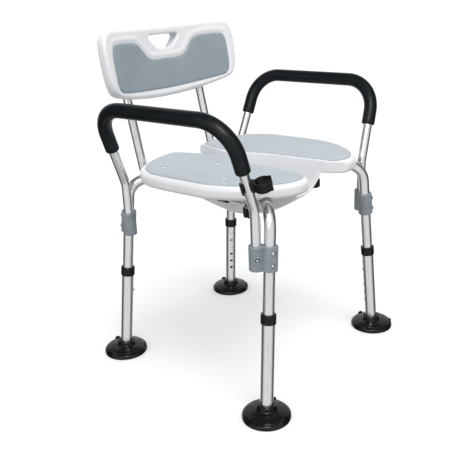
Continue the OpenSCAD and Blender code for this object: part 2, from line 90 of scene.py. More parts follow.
def area_light(name, at, size, power, aim=(0, 0, 0.35)):
    data = bpy.data.lights.new(name, "AREA")
    data.shape, data.size, data.size_y, data.energy = "RECTANGLE", size[0], size[1], power
    lamp = bpy.data.objects.new(name, data)
    scene.collection.objects.link(lamp)
    lamp.location = at
    lamp.rotation_euler = (Vector(aim) - Vector(at)).to_track_quat("-Z", "Y").to_euler()
    return lamp


def new_object(name, points, faces, smooth=True):
    """A mesh object from points in millimetres and a list or array of faces."""
    mesh = bpy.data.meshes.new(name)
    mesh.from_pydata((np.asarray(points, float) * MM).tolist(), [], [list(map(int, f)) for f in faces])
    mesh.polygons.foreach_set("use_smooth", [smooth] * len(mesh.polygons))
    mesh.update()
    made = bpy.data.objects.new(name, mesh)
    scene.collection.objects.link(made)
    return made


def seen_in_reflections(made):
    """Leaves an object to reflections alone."""
    made.visible_camera = made.visible_shadow = made.visible_diffuse = made.visible_transmission = False
    return made


def reflection_wall(radius, low, high, sides=96):
    """A round wall far from the object that only reflections see, for the streaks on the bare tubes."""
    headings = np.linspace(0, 2 * math.pi, sides, endpoint=False)
    points = [(radius * math.cos(a), radius * math.sin(a), z) for z in (low, high) for a in headings]
    faces = [(i, (i + 1) % sides, sides + (i + 1) % sides, sides + i) for i in range(sides)]
    return seen_in_reflections(new_object("reflection_wall", points, faces, smooth=False))


def reflection_panel(name, middle, half, glow):
    """A panel overhead that only reflections see, turned to face the object."""
    corners = [(-1, -1), (1, -1), (1, 1), (-1, 1)]
    points = [(x * half, y * half, 0) for x, y in corners]
    made = seen_in_reflections(new_object(name, points, [(0, 1, 2, 3)], smooth=False))
    made.location = Vector(middle) * MM
    made.rotation_euler = Vector(middle).to_track_quat("Z", "Y").to_euler()
    material = bpy.data.materials.new(name)
    material.use_nodes = True
    tree = material.node_tree
    tree.nodes.clear()
    light = tree.nodes.new("ShaderNodeEmission")
    light.inputs["Strength"].default_value = glow
    tree.links.new(light.outputs["Emission"], tree.nodes.new("ShaderNodeOutputMaterial").inputs["Surface"])
    made.data.materials.append(material)
    return made


def fill_ramp(ramp, stops):
    """Sets a colour ramp to these (position, colour) stops, in order."""
    first, last = ramp.elements[0], ramp.elements[-1]
    first.position, first.color = stops[0][0], (*stops[0][1], 1)
    last.position, last.color = stops[-1][0], (*stops[-1][1], 1)
    for at, color in stops[1:-1]:
        ramp.elements.new(at).color = (*color, 1)


def wall_strips():
    """Soft strips by heading: bright towards the camera, dark to both sides and lighter again behind."""
    material = bpy.data.materials.new("wall_strips")
    material.use_nodes = True
    tree = material.node_tree
    tree.nodes.clear()
    new, link = tree.nodes.new, tree.links.new
    turn = new("ShaderNodeMapping")
    turn.inputs["Rotation"].default_value = (0, 0, math.radians(-37.5))
    link(new("ShaderNodeTexCoord").outputs["Object"], turn.inputs["Vector"])
    around = new("ShaderNodeTexGradient")
    around.gradient_type = "RADIAL"
    link(turn.outputs["Vector"], around.inputs["Vector"])
    ramp = new("ShaderNodeValToRGB")
    stops = [
        (0.0, 0.85), (0.1, 0.92), (0.17, 0.72), (0.225, 0.2), (0.27, 0.04), (0.315, 0.08), (0.37, 0.5),
        (0.44, 0.8), (0.5, 0.95), (0.56, 0.8), (0.63, 0.5), (0.685, 0.08), (0.73, 0.04), (0.775, 0.2),
        (0.83, 0.72), (0.9, 0.92), (1.0, 0.85),
    ]
    fill_ramp(ramp.color_ramp, [(at, (value, value, value)) for at, value in stops])
    link(around.outputs["Fac"], ramp.inputs["Fac"])
    glow = new("ShaderNodeEmission")
    link(ramp.outputs["Color"], glow.inputs["Color"])
    link(glow.outputs["Emission"], new("ShaderNodeOutputMaterial").inputs["Surface"])
    return material


# ---------------------------------------------------------------- materials


class Nodes:
    """A material's node tree, with short calls for the few nodes used here."""

    def __init__(self, name, color, roughness, metallic=0.0, **sockets):
        self.material = bpy.data.materials.new(name)
        self.material.use_nodes = True
        self.tree = self.material.node_tree
        self.shader = self.tree.nodes["Principled BSDF"]
        self.shader.inputs["Base Color"].default_value = (*color, 1)
        self.shader.inputs["Roughness"].default_value = roughness
        self.shader.inputs["Metallic"].default_value = metallic
        for key, value in sockets.items():
            self.shader.inputs[key.replace("_", " ").title().replace("Ior", "IOR")].default_value = value
        self.coordinates = self.tree.nodes.new("ShaderNodeTexCoord").outputs["Object"]

    def add(self, kind, inputs=(), **settings):
        node = self.tree.nodes.new(kind)
        for key, value in settings.items():
            setattr(node, key, value)
        for key, value in dict(inputs).items():
            if isinstance(value, bpy.types.NodeSocket):
                self.tree.links.new(value, node.inputs[key])
            else:
                node.inputs[key].default_value = value
        return node

    def placed(self, scale=(1, 1, 1), turn=(0, 0, 0)):
        return self.add(
            "ShaderNodeMapping",
            {"Vector": self.coordinates, "Scale": scale, "Rotation": [math.radians(a) for a in turn]},
        ).outputs["Vector"]

    def noise(self, scale, detail=3.0, stretch=(1, 1, 1)):
        return self.add(
            "ShaderNodeTexNoise", {"Vector": self.placed(stretch), "Scale": scale, "Detail": detail}
        ).outputs["Fac"]

    def stripes(self, pitch, turn):
        """Soft parallel ridges, one every pitch metres, at a turn about each axis."""
        return self.add(
            "ShaderNodeTexWave",
            {"Vector": self.placed(turn=turn), "Scale": 0.314 / pitch, "Distortion": 0.0},
            wave_type="BANDS",
            bands_direction="X",
            wave_profile="SIN",
        ).outputs["Fac"]

    def math(self, operation, a, b):
        return self.add("ShaderNodeMath", {0: a, 1: b}, operation=operation).outputs[0]

    def ramp(self, value, stops):
        node = self.add("ShaderNodeValToRGB", {"Fac": value})
        fill_ramp(node.color_ramp, stops)
        return node.outputs["Color"]

    def spread(self, value, low, high):
        return self.add(
            "ShaderNodeMapRange", {"Value": value, "To Min": low, "To Max": high}
        ).outputs["Result"]

    def set(self, socket, value):
        self.tree.links.new(value, self.shader.inputs[socket])

    def bump(self, height, distance, strength=1.0):
        self.set(
            "Normal",
            self.add(
                "ShaderNodeBump", {"Height": height, "Distance": distance, "Strength": strength}
            ).outputs["Normal"],
        )


def white_plastic():
    m = Nodes("white_plastic", (0.86, 0.87, 0.885), 0.3, coat_weight=0.25, coat_roughness=0.15)
    tone = m.ramp(m.noise(9, 2), [(0.3, (0.83, 0.84, 0.855)), (0.7, (0.855, 0.865, 0.88))])
    # Painted shade: the base colour is darkened where ambient occlusion finds creases, recesses and
    # undersides
    hollow = m.add("ShaderNodeAmbientOcclusion", {"Distance": 0.035}, samples=8).outputs["AO"]
    painted_crevice_shade = m.ramp(hollow, [(0.1, (0.5, 0.52, 0.55)), (0.75, (1, 1, 1))])
    mix = m.add("ShaderNodeMix", {"Factor": 1.0}, data_type="RGBA", blend_type="MULTIPLY")
    m.tree.links.new(tone, mix.inputs[6])
    m.tree.links.new(painted_crevice_shade, mix.inputs[7])
    m.set("Base Color", mix.outputs[2])
    m.set("Roughness", m.spread(m.noise(60, 4), 0.24, 0.38))
    m.bump(m.noise(420, 3), 0.00025, 0.35)
    return m.material


def aluminium():
    m = Nodes("bright_aluminium", (0.78, 0.79, 0.8), 0.25, metallic=1.0)
    grain = m.noise(40, 4, (9, 9, 0.6))
    m.set("Base Color", m.ramp(grain, [(0.3, (0.72, 0.725, 0.735)), (0.7, (0.80, 0.805, 0.81))]))
    m.set("Roughness", m.spread(m.noise(60, 3, (6, 6, 0.6)), 0.2, 0.27))
    m.bump(m.noise(190, 2, (8, 8, 0.5)), 0.0001, 0.1)
    return m.material


def steel():
    m = Nodes("plated_steel", (0.62, 0.63, 0.65), 0.3, metallic=1.0)
    m.set("Base Color", m.ramp(m.noise(120, 3), [(0.3, (0.36, 0.37, 0.385)), (0.7, (0.5, 0.51, 0.525))]))
    m.set("Roughness", m.spread(m.noise(220, 3), 0.2, 0.4))
    return m.material


def moulded(name, dark, light, rough, grain, **sockets):
    """A moulded plastic or rubber with faint mottling and a fine skin."""
    m = Nodes(name, light, rough[0], **sockets)
    m.set("Base Color", m.ramp(m.noise(45, 3), [(0.3, dark), (0.7, light)]))
    m.set("Roughness", m.spread(m.noise(90, 4), *rough))
    m.bump(m.noise(grain, 3), 0.0003, 0.4)
    return m.material


def dimpled_foam(name, dark, light, pitch, turns, depth, rough):
    """Foam embossed with small raised dots where two sets of fine ridges cross."""
    m = Nodes(name, light, rough, sheen_weight=0.15, sheen_roughness=0.5)
    dots = m.math("MULTIPLY", m.stripes(pitch, turns[0]), m.stripes(pitch, turns[1]))
    tone = m.math("ADD", m.math("MULTIPLY", dots, 0.75), m.math("MULTIPLY", m.noise(14, 3), 0.35))
    m.set("Base Color", m.ramp(tone, [(0.1, dark), (0.85, light)]))
    m.set("Roughness", m.spread(m.noise(30, 3), rough - 0.06, rough + 0.08))
    pores = m.math("MULTIPLY", m.noise(900, 2), 0.25)
    m.bump(m.math("ADD", dots, pores), depth, 0.6)
    return m.material


WHITE = white_plastic()
ALUMINIUM = aluminium()
STEEL = steel()
SEAT_FOAM = dimpled_foam(
    "seat_foam", (0.36, 0.415, 0.46), (0.56, 0.615, 0.655), 0.0042, ((0, 0, 45), (0, 0, -45)), 0.0005, 0.5
)
BACK_FOAM = dimpled_foam(
    "back_foam", (0.20, 0.25, 0.29), (0.46, 0.515, 0.56), 0.0048, ((0, 45, 0), (0, -45, 0)), 0.0005, 0.48
)
GRIP_FOAM = moulded(
    "grip_foam", (0.003, 0.005, 0.006), (0.006, 0.009, 0.011), (0.24, 0.34), 700, specular_ior_level=0.22
)
BLACK = moulded(
    "black_plastic", (0.003, 0.0035, 0.004), (0.007, 0.008, 0.009), (0.2, 0.32), 500, specular_ior_level=0.25
)
RUBBER = moulded(
    "foot_rubber", (0.002, 0.003, 0.003), (0.005, 0.006, 0.006), (0.12, 0.22), 380, specular_ior_level=0.3
)
GREY = moulded("clamp_plastic", (0.22, 0.25, 0.272), (0.28, 0.312, 0.335), (0.3, 0.46), 460)
FLOOR = moulded(
    "floor", (0.69, 0.692, 0.695), (0.7, 0.702, 0.705), (0.8, 0.9), 30,
    emission_color=(1, 1, 1, 1), emission_strength=0.22, specular_ior_level=0.1,
)


def dress(made, material, body=None, nodes=()):
    """Finish of one new piece: its material, what it rides on and the CAD nodes it stands for."""
    made.data.materials.clear()
    made.data.materials.append(material)
    if body:
        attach(made, body)
    if nodes:
        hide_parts(*nodes)
    return made


# ---------------------------------------------------------------- distance fields


def polygon_distance(x, y, corners):
    """Signed distance from points to a closed outline: negative inside."""
    x, y = np.broadcast_arrays(np.asarray(x, np.float32), np.asarray(y, np.float32))
    near = np.full(x.shape, 1e9, np.float32)
    inside = np.zeros(x.shape, bool)
    for (ax, ay), (bx, by) in zip(corners, np.roll(corners, -1, axis=0)):
        ex, ey = bx - ax, by - ay
        t = np.clip(((x - ax) * ex + (y - ay) * ey) / (ex * ex + ey * ey), 0, 1)
        near = np.minimum(near, (x - ax - t * ex) ** 2 + (y - ay - t * ey) ** 2)
        if ay != by:
            inside ^= ((ay > y) != (by > y)) & (x < ax + (y - ay) * ex / ey)
    near = np.sqrt(near)
    return np.where(inside, -near, near)


def cut(a, b, r):
    """Where both fields are inside, with the edge between them rounded to r."""
    return np.minimum(np.maximum(a, b), -r) + np.hypot(np.maximum(a + r, 0), np.maximum(b + r, 0))


def join(a, b, r):
    """Where either field is inside, with the corner between them filled to r."""
    return -cut(-a, -b, r)


def axis_distance(x, y, z, at, along):
    """Distance from a line, and the distance along it."""
    dx, dy, dz = x - at[0], y - at[1], z - at[2]
    s = dx * along[0] + dy * along[1] + dz * along[2]
    return np.sqrt(np.maximum(dx * dx + dy * dy + dz * dz - s * s, 0)), s


def skin(name, low, high, step, field):
    """The closed surface of the space where field(x, y, z) is below zero, a point in each cell it crosses."""
    step = np.ones(3) * step * COARSE
    axes = [np.arange(a - 1.5 * s, b + 2.5 * s, s) for a, b, s in zip(low, high, step)]
    grid = np.ix_(*axes)
    values = np.broadcast_to(field(*grid), [len(a) for a in axes]).astype(np.float32)
    solid = values < 0
    size = np.array(values.shape) - 1
    count = np.zeros(size, np.uint8)
    for i, j, k in product((0, 1), repeat=3):
        count += solid[i : i + size[0], j : j + size[1], k : k + size[2]]
    cells = np.argwhere((count > 0) & (count < 8))
    total, hits = np.zeros((len(cells), 3)), np.zeros(len(cells))
    for axis in range(3):
        b, c = (axis + 1) % 3, (axis + 2) % 3
        for u, v in product((0, 1), repeat=2):
            offset = np.zeros(3, int)
            offset[b], offset[c] = u, v
            start = cells + offset
            end = start.copy()
            end[:, axis] += 1
            fa, fb = values[tuple(start.T)], values[tuple(end.T)]
            crossed = (fa < 0) != (fb < 0)
            point = np.tile(offset.astype(float), (len(cells), 1))
            point[:, axis] = np.where(crossed, fa / np.where(crossed, fa - fb, 1), 0)
            total += point * crossed[:, None]
            hits += crossed
    points = np.array([a[0] for a in axes]) + (cells + total / hits[:, None]) * step
    index = np.full(size, -1, np.int64)
    index[tuple(cells.T)] = np.arange(len(cells))
    faces = []
    for axis in range(3):
        b, c = (axis + 1) % 3, (axis + 2) % 3
        edges = np.argwhere(np.diff(solid, axis=axis))
        ring = []
        for u, v in ((1, 1), (0, 1), (0, 0), (1, 0)):
            cell = edges.copy()
            cell[:, b] -= u
            cell[:, c] -= v
            ring.append(index[tuple(cell.T)])
        ring = np.stack(ring, axis=1)
        backward = ~solid[tuple(edges.T)]
        ring[backward] = ring[backward][:, ::-1]
        faces.append(ring)
    points = settled(points, field, step)
    return new_object(name, points, np.concatenate(faces))


def settled(points, field, step):
    """The points moved along the field's slope onto its surface, by less than a third of a cell."""
    x, y, z = points.T
    here = field(x, y, z)
    d = 0.05
    slope = np.stack(
        [field(x + d, y, z) - here, field(x, y + d, z) - here, field(x, y, z + d) - here], axis=1
    ) / d
    steep = np.maximum((slope**2).sum(1), 0.25)
    move = -slope * (here / steep)[:, None]
    return points + np.clip(move, -0.3 * step, 0.3 * step)


def placed_by(made, matrix, flip=False):
    """Moves a mesh that was made in a part's own frame to its place, mirrored in X if asked."""
    m = Matrix(matrix)
    m.translation = m.translation * MM
    made.data.transform(m)
    if flip:
        made.data.transform(Matrix.Diagonal((-1, 1, 1, 1)))
        made.data.flip_normals()
    return made


# ---------------------------------------------------------------- turned and swept forms


def swept(name, path, profile, sides=32):
    """A closed form around a path. The profile is a closed list of (distance along the path, radius)."""
    path = np.asarray(path, float)
    seg = np.diff(path, axis=0)
    length = np.concatenate([[0], np.cumsum(np.linalg.norm(seg, axis=1))])
    tangent = np.gradient(path, length, axis=0)
    tangent /= np.linalg.norm(tangent, axis=1)[:, None]
    side = [np.cross(tangent[0], [0.31, 0.95, 0.05] if abs(tangent[0][1]) < 0.9 else [1, 0, 0])]
    for t in tangent[1:]:
        side.append(side[-1] - t * (side[-1] @ t))
    side = np.array(side) / np.linalg.norm(side, axis=1)[:, None]
    points = []
    for s, r in profile:
        at = np.array([np.interp(s, length, path[:, i]) for i in range(3)])
        if s < 0:
            at = path[0] + tangent[0] * s
        if s > length[-1]:
            at = path[-1] + tangent[-1] * (s - length[-1])
        t = np.array([np.interp(s, length, tangent[:, i]) for i in range(3)])
        t /= np.linalg.norm(t)
        u = np.array([np.interp(s, length, side[:, i]) for i in range(3)])
        u -= t * (u @ t)
        u /= np.linalg.norm(u)
        v = np.cross(t, u)
        for i in range(sides):
            a = 2 * math.pi * i / sides
            points.append(at + r * (u * math.cos(a) + v * math.sin(a)))
    faces = []
    n = len(profile)
    for i, j in product(range(n), range(sides)):
        k, l = (i + 1) % n, (j + 1) % sides
        faces.append((i * sides + j, i * sides + l, k * sides + l, k * sides + j))
    return new_object(name, points, faces)


def turned(name, at, along, profile, sides=48):
    """A form turned about a line: the profile is a closed list of (distance along, radius)."""
    at, along = np.asarray(at, float), np.asarray(along, float)
    along = along / np.linalg.norm(along)
    profile = [(s, max(r, 0.01)) for s, r in profile]
    return swept(name, [at, at + along * 10], profile, sides)


def rounded_bar(low, high, outer, inner, r, steps=4):
    """Profile of a tube's wall with its outer edges rounded to r."""
    profile = [(low, inner)]
    for i in range(steps + 1):
        a = math.pi / 2 * i / steps
        profile.append((low + r - r * math.cos(a), outer - r + r * math.sin(a)))
    for i in range(steps + 1):
        a = math.pi / 2 * i / steps
        profile.append((high - r + r * math.sin(a), outer - r + r * math.cos(a)))
    profile.append((high, inner))
    return profile


def merged(name, pieces):
    """Several mesh objects as one."""
    points, faces, base = [], [], 0
    for piece in pieces:
        mesh = piece.data
        co = np.zeros(len(mesh.vertices) * 3, np.float32)
        mesh.vertices.foreach_get("co", co)
        points.append(co.reshape(-1, 3) / MM)
        faces += [[base + v for v in p.vertices] for p in mesh.polygons]
        base += len(mesh.vertices)
        bpy.data.objects.remove(piece)
    return new_object(name, np.concatenate(points), faces)


def curve_point(a, b, c, d, t):
    return 0.5 * (2 * b + (c - a) * t + (2 * a - 5 * b + 4 * c - d) * t**2 + (3 * b - a - 3 * c + d) * t**3)


def closed_curve(corners, steps=6):
    p = np.asarray(corners, float)
    n = len(p)
    return np.array(
        [
            curve_point(p[i - 1], p[i], p[(i + 1) % n], p[(i + 2) % n], k / steps)
            for i in range(n)
            for k in range(steps)
        ]
    )


def open_curve(corners, steps=6):
    p = np.asarray(corners, float)
    return np.array(
        [
            curve_point(p[i - 1], p[i], p[i + 1], p[i + 2], k / steps)
            for i in range(1, len(p) - 2)
            for k in range(steps)
        ]
    )


def mirrored(half):
    """A whole outline from its half, from the middle line outward and back."""
    return half + [(-x, y) for x, y in reversed(half) if x > 0]


def unit(v):
    v = np.asarray(v, float)
    return v / np.linalg.norm(v)


def side_of(v, side):
    return np.array([v[0] * side, v[1], v[2]], float)


def tilt_matrix(along, at):
    """The frame whose Z axis is turned straight to a direction, with its origin at a point."""
    along = Vector(unit(along))
    turn = math.atan2(along.y, along.x)
    tilt = math.acos(along.z)
    m = Matrix.Rotation(turn, 4, "Z") @ Matrix.Rotation(tilt, 4, "Y") @ Matrix.Rotation(-turn, 4, "Z")
    m.translation = Vector(at)
    return m


# ---------------------------------------------------------------- design numbers of the frame

FOOT_AT = [np.array((217.0, -203.0, 0.0)), np.array((193.0, 203.0, 0.0))]
LEAN = [
    unit((-math.tan(math.radians(6.1)), math.tan(math.radians(1.5)), 1)),
    unit((-math.tan(math.radians(3.2)), -math.tan(math.radians(5.5)), 1)),
]
ARM_AT = [np.array((198.4, -176.3)), np.array((190.2, 155.0))]
ARM_KINK = [np.array((198.4, -176.3, 400.0)), np.array((190.2, 155.0, 398.0))]
BAR_CORNER = [np.array((258.0, -173.3, 566.0)), np.array((258.0, 139.9, 566.0))]
BAR_R = 66.0
DECK_TOP, DECK_UNDER, SKIRT_LOW, PAD_TOP = 434.0, 428.0, 408.0, 437.0
RIM, WALL, LOOK_WALL = 12.0, 3.5, 4.5
PAD = closed_curve(
    [
        (201, -55), (201, 45), (193, 83), (174, 111), (146, 130), (110, 143), (75, 148), (52, 146),
        (40, 122), (32, 95), (25, 62), (27, 26), (37, -3), (45, -35), (49, -85), (51, -130),
        (57, -176), (70, -195), (94, -199), (120, -191), (146, -172), (170, -142), (187, -113), (198, -76),
    ]
)
CHANNEL = open_curve(
    [
        (-230, 88), (-215, 78), (-200, 67.5), (-185, 58.5), (-165, 51), (-110, 46), (-60, 44), (-20, 38),
        (0, 32), (30, 22), (67, 21), (100, 30), (125, 38), (150, 47), (175, 52),
    ]
)
# The wide wheel whose rounded tread is the channel's bottom: its middle, radius, half width and corner
KEEL_Y, KEEL_Z, KEEL_R, KEEL_HALF, KEEL_CORNER = 5, 555, 240, 55, 38
KEEL_FRONT, KEEL_REAR = -172, 150
LIP_Y, LIP_R = -228, 80
DRAINS = [(157, 77), (157, -77), (80, 0)]
SADDLE_Y = (-110, 0, 95)
RUN_X, RUN_Z = 136.0, 402.0
POST_X, KNOB_Y = 114.5, -104.0

# ---------------------------------------------------------------- seat


def leg_top(end):
    """Where the leg's own line meets the height of the run under the seat."""
    return FOOT_AT[end] + LEAN[end] * (RUN_Z / LEAN[end][2])


def seat_field(x, y, z):
    ax = np.abs(x)
    lobe = polygon_distance(ax, y, PAD) - RIM
    width = np.interp(y, CHANNEL[:, 0], CHANNEL[:, 1])
    channel = (ax - width) * 0.97
    # Two lobes with a skirt, open underneath
    body = cut(cut(lobe, z - DECK_TOP, 10), SKIRT_LOW - z, 9)
    hollow = cut(cut(lobe + LOOK_WALL, z - DECK_UNDER, 6), SKIRT_LOW + LOOK_WALL - z, 9 - LOOK_WALL)
    mouth = np.maximum(lobe + 10, z - DECK_UNDER + 5)
    hollow = np.minimum(hollow, mouth)
    hollow = np.maximum(hollow, WALL - channel)
    # The keel under the channel, with its curved front lip
    wheel = np.hypot(y - KEEL_Y, z - KEEL_Z) - KEEL_R
    keel = cut(ax - KEEL_HALF, wheel, KEEL_CORNER)
    keel = cut(keel, channel - WALL, 3)
    keel = cut(keel, y - KEEL_REAR, 2)
    keel = cut(keel, LIP_R - np.hypot(ax, y - LIP_Y), 2)
    keel = cut(keel, z - DECK_TOP, 3)
    keel = np.maximum(keel, KEEL_FRONT - y)
    trough = cut(ax - KEEL_HALF + WALL, wheel + WALL, KEEL_CORNER - WALL)
    trough = np.where(z > SKIRT_LOW, channel, np.maximum(trough, channel))
    shell = join(np.maximum(body, -hollow), keel, 3)
    shell = cut(shell, -trough, 3)
    # Bosses for the screws of the side tubes and for the hand screws
    for at_y in SADDLE_Y:
        boss = np.maximum(np.hypot(ax - RUN_X, y - at_y) - 9, 418 - z)
        shell = join(shell, np.maximum(boss, z - DECK_UNDER - 1), 2)
    boss = np.maximum(np.hypot(ax - POST_X, y - KNOB_Y) - 8, 395.5 - z)
    shell = join(shell, np.maximum(boss, z - DECK_UNDER - 1), 2)
    # The pad lies in a shallow recess
    shell = cut(shell, -np.maximum(lobe + RIM - 0.4, DECK_TOP - 1 - z), 0.6)
    for px, py in DRAINS:
        reach = np.hypot(ax - px, y - py)
        shell = join(shell, np.maximum(cut(reach - 6.8, z - 435.6, 0.8), DECK_TOP - 3 - z), 0.3)
        shell = cut(shell, 3.4 - reach, 0.4)
    # Room in the skirt where the side tubes pass under it
    for end, run_y in ((FRONT, 1), (REAR, -1)):
        start = leg_top(end)
        stop_y = start[1] + run_y * (start[0] - RUN_X) / math.tan(math.radians(40))
        way = np.array((RUN_X - start[0], stop_y - start[1], 0))
        away, _ = axis_distance(ax, y, z, start, unit(way))
        shell = cut(shell, np.minimum(13 - away, ax - RUN_X + 20), 2)
    return shell


def pad_field(x, y, z):
    outline = polygon_distance(x, y, PAD)
    crown = 0.7 * (1 - np.exp(np.minimum(outline, 0) / 16))
    top = z - PAD_TOP - crown + 0.5
    pad = cut(cut(outline, top, 2.2), 433 - z, 0.8)
    for px, py in DRAINS:
        pad = cut(pad, 7 - np.hypot(x - px, y - py), 1.2)
    return pad


def make_seat():
    shell = skin("seat_body", (-214, -212, 313), (214, 160, 434), (2.0, 2.0, 1.6), seat_field)
    dress(shell, WHITE, "frame", ["seat_shell"])
    for name, side in SIDES:
        pad = skin("seat_foam_" + name, (24, -200, 433), (202, 149, 437.4), (1.6, 1.6, 0.8), pad_field)
        placed_by(pad, Matrix.Identity(4), side < 0)
        dress(pad, SEAT_FOAM, "frame", ["seat_pad_" + name])


# ---------------------------------------------------------------- backrest

PANEL_AT, PANEL_TILT, PANEL_R, PANEL_T = np.array((0, 198.0, 640.0)), math.radians(8), 563.0, 27.0
PANEL = closed_curve(
    mirrored(
        [
            (0, -91), (60, -89.5), (115, -84), (164, -76), (186, -67), (196, -47), (200, -12), (199, 24),
            (193, 44), (179, 54.5), (150, 57.5), (80, 57.5),
        ]
    )
)
BACK_PAD = closed_curve(
    mirrored(
        [
            (0, -73), (80, -71), (150, -67), (168, -62), (175, -48), (176, -10), (173, 16), (162, 26),
            (120, 28), (92, 25), (80, 17), (62, -2), (48, -10), (24, -12),
        ]
    )
)
GRIP_HOLE = closed_curve(mirrored([(0, 11), (20, 12), (29, 17), (44, 33), (42, 39), (30, 40)]))
POST_LEAN, POST_RUN_Z, POST_REAR_Y = math.radians(11.8), 384.5, 173.4


def panel_frame():
    m = Matrix.Rotation(-PANEL_TILT, 4, "X")
    m.translation = Vector(PANEL_AT)
    return m


def shell_field(x, y, z):
    outline = polygon_distance(x, z, PANEL)
    pad = polygon_distance(x, z, BACK_PAD)
    hole = polygon_distance(x, z, GRIP_HOLE)
    depth = np.hypot(x, y + PANEL_R) - PANEL_R
    # The rim stands a little proud between the pad and the edge
    lip = 1.6 * np.exp(-(((pad - 9) / 5.0) ** 2))
    shell = cut(cut(outline, -depth - lip, 9), depth - PANEL_T, 11)
    shell = cut(shell, -hole, 4)
    shell = cut(shell, -np.maximum(pad - 0.5, depth - 1.1), 0.8)
    # Channels for the two posts, in the posts' own lean
    wy = PANEL_AT[1] + y * math.cos(PANEL_TILT) + z * math.sin(PANEL_TILT)
    wz = PANEL_AT[2] - y * math.sin(PANEL_TILT) + z * math.cos(PANEL_TILT)
    base_y = POST_REAR_Y + (566 - POST_RUN_Z) * math.tan(POST_LEAN)
    py = (wy - base_y) * math.cos(POST_LEAN) - (wz - 566) * math.sin(POST_LEAN)
    pz = (wy - base_y) * math.sin(POST_LEAN) + (wz - 566) * math.cos(POST_LEAN)
    px = np.abs(x) - POST_X
    block = cut(np.maximum(np.abs(px) - 14.5, np.abs(pz - 53) - 53), np.abs(py + 11) - 11, 2.5)
    shell = join(shell, np.maximum(block, -depth + 3), 3)
    bore = np.maximum(np.hypot(px, py) - 9.6, pz - 130)
    return np.maximum(shell, -bore)


def back_pad_field(x, y, z):
    outline = polygon_distance(x, z, BACK_PAD)
    depth = np.hypot(x, y + PANEL_R) - PANEL_R
    crown = 0.9 * (1 - np.exp(np.minimum(outline, 0) / 14))
    return cut(cut(outline, -depth - 2.0 - crown, 2.4), depth - 1, 0.6)


def make_backrest():
    shell = skin("back_body", (-202, -42, -94), (202, 34, 60), (1.8, 1.5, 1.8), shell_field)
    dress(placed_by(shell, panel_frame()), WHITE, "backrest", ["back_shell"])
    pad = skin("back_foam_pad", (-178, -34, -76), (178, 3, 30), (1.6, 0.9, 1.6), back_pad_field)
    dress(placed_by(pad, panel_frame()), BACK_FOAM, "backrest", ["back_pad"])


# ---------------------------------------------------------------- armrests


def bent_path(corners, radius, step=4.0):
    """Straight runs joined by arcs, as points about every step millimetres."""
    corners = [np.asarray(c, float) for c in corners]
    points = [corners[0]]
    for a, b, c in zip(corners, corners[1:], corners[2:]):
        u, v = unit(b - a), unit(c - b)
        turn = math.acos(u @ v)
        start = b - u * radius * math.tan(turn / 2)
        centre = b + unit(v - u) * radius / math.cos(turn / 2)
        out = unit(start - centre)
        count = max(6, int(radius * turn / step))
        for i in range(count + 1):
            t = turn * i / count
            points.append(centre + radius * (out * math.cos(t) + u * math.sin(t)))
    points.append(corners[-1])
    dense = [points[0]]
    for p in points[1:]:
        gap = np.linalg.norm(p - dense[-1])
        n = max(1, round(gap / (2 * step)))
        dense += [dense[-1] + (p - dense[-1]) * i / n for i in range(1, n)] + [p]
    return np.array(dense)


def make_grips():
    for name, side in SIDES:
        ends = []
        for end in (FRONT, REAR):
            t = (476.5 - ARM_KINK[end][2]) / (566 - ARM_KINK[end][2])
            ends.append(ARM_KINK[end] + t * (BAR_CORNER[end] - ARM_KINK[end]))
        path = bent_path([ends[0], BAR_CORNER[0], BAR_CORNER[1], ends[1]], BAR_R)
        path = np.array([side_of(p, side) for p in path])
        length = np.linalg.norm(np.diff(path, axis=0), axis=1).sum()
        outer = rounded_bar(0, length, 14, 9.6, 3.2)
        between = [(s, 14) for s in np.arange(8, length - 8, 5)]
        half = len(outer) // 2
        back = [(s, 9.6) for s in np.arange(length - 8, 7, -8)]
        grip = swept("grip_sleeve_" + name, path, outer[:half] + between + outer[half:] + back, 40)
        dress(grip, GRIP_FOAM, "armrest_" + name, ["arm_grip_" + name])


def clip_field(x, y, z):
    def turned_by(degrees):
        c, s = math.cos(math.radians(degrees)), math.sin(math.radians(degrees))
        return x * c + y * s, y * c - x * s

    u, v = turned_by(245)
    mu, mv = turned_by(-36)
    ring = np.hypot(u - 28, v)
    shape = join(np.hypot(x, y) - 13, ring - 16, 6)
    shape = join(shape, np.maximum(np.abs(v) - 5, np.abs(u - 14) - 13), 3)
    shape = cut(shape, 9.58 - np.hypot(x, y), 0.6)
    shape = cut(shape, 12.5 - ring, 0.8)
    shape = cut(shape, -np.maximum(np.abs(mv) - 8, -mu), 1.4)
    c, s = math.cos(math.radians(-13)), math.sin(math.radians(-13))
    ru, rv = (u - 28) * c + v * s, v * c - (u - 28) * s
    shape = cut(shape, -np.maximum(np.abs(rv) - 8.4, -ru), 1.4)
    # Small turned-out lips at both mouths
    shape = join(shape, np.hypot(ru - 13.2, np.abs(rv) - 9.8) - 2.6, 1.5)
    shape = join(shape, np.hypot(mu - 10.8, np.abs(mv) - 9.2) - 2.2, 1.5)
    return cut(shape, np.abs(z) - 9, 1.6)


def make_clip():
    t = (450 - ARM_KINK[FRONT][2]) / (566 - ARM_KINK[FRONT][2])
    along = BAR_CORNER[FRONT] - ARM_KINK[FRONT]
    clip = skin("hose_clip", (-32, -46, -9), (18, 18, 9), 0.9, clip_field)
    placed_by(clip, tilt_matrix(along, ARM_KINK[FRONT] + t * along), True)
    dress(clip, BLACK, "shower_clip", ["holder_clip"])


# ---------------------------------------------------------------- clamps, legs and feet

CLAMP_LOW, CLAMP_H = 290.0, 47.0
LEG_TURN, ARM_TURN = (135, 225), (-45, 45)
RIVET_TURN, RIVET_AT = (-62, 62), (12, 35)


def heading(end, degrees):
    """The direction across a leg, at a heading around it."""
    a = math.radians(degrees)
    m = tilt_matrix(LEAN[end], (0, 0, 0))
    return np.array(m.to_3x3() @ Vector((math.cos(a), math.sin(a), 0)))


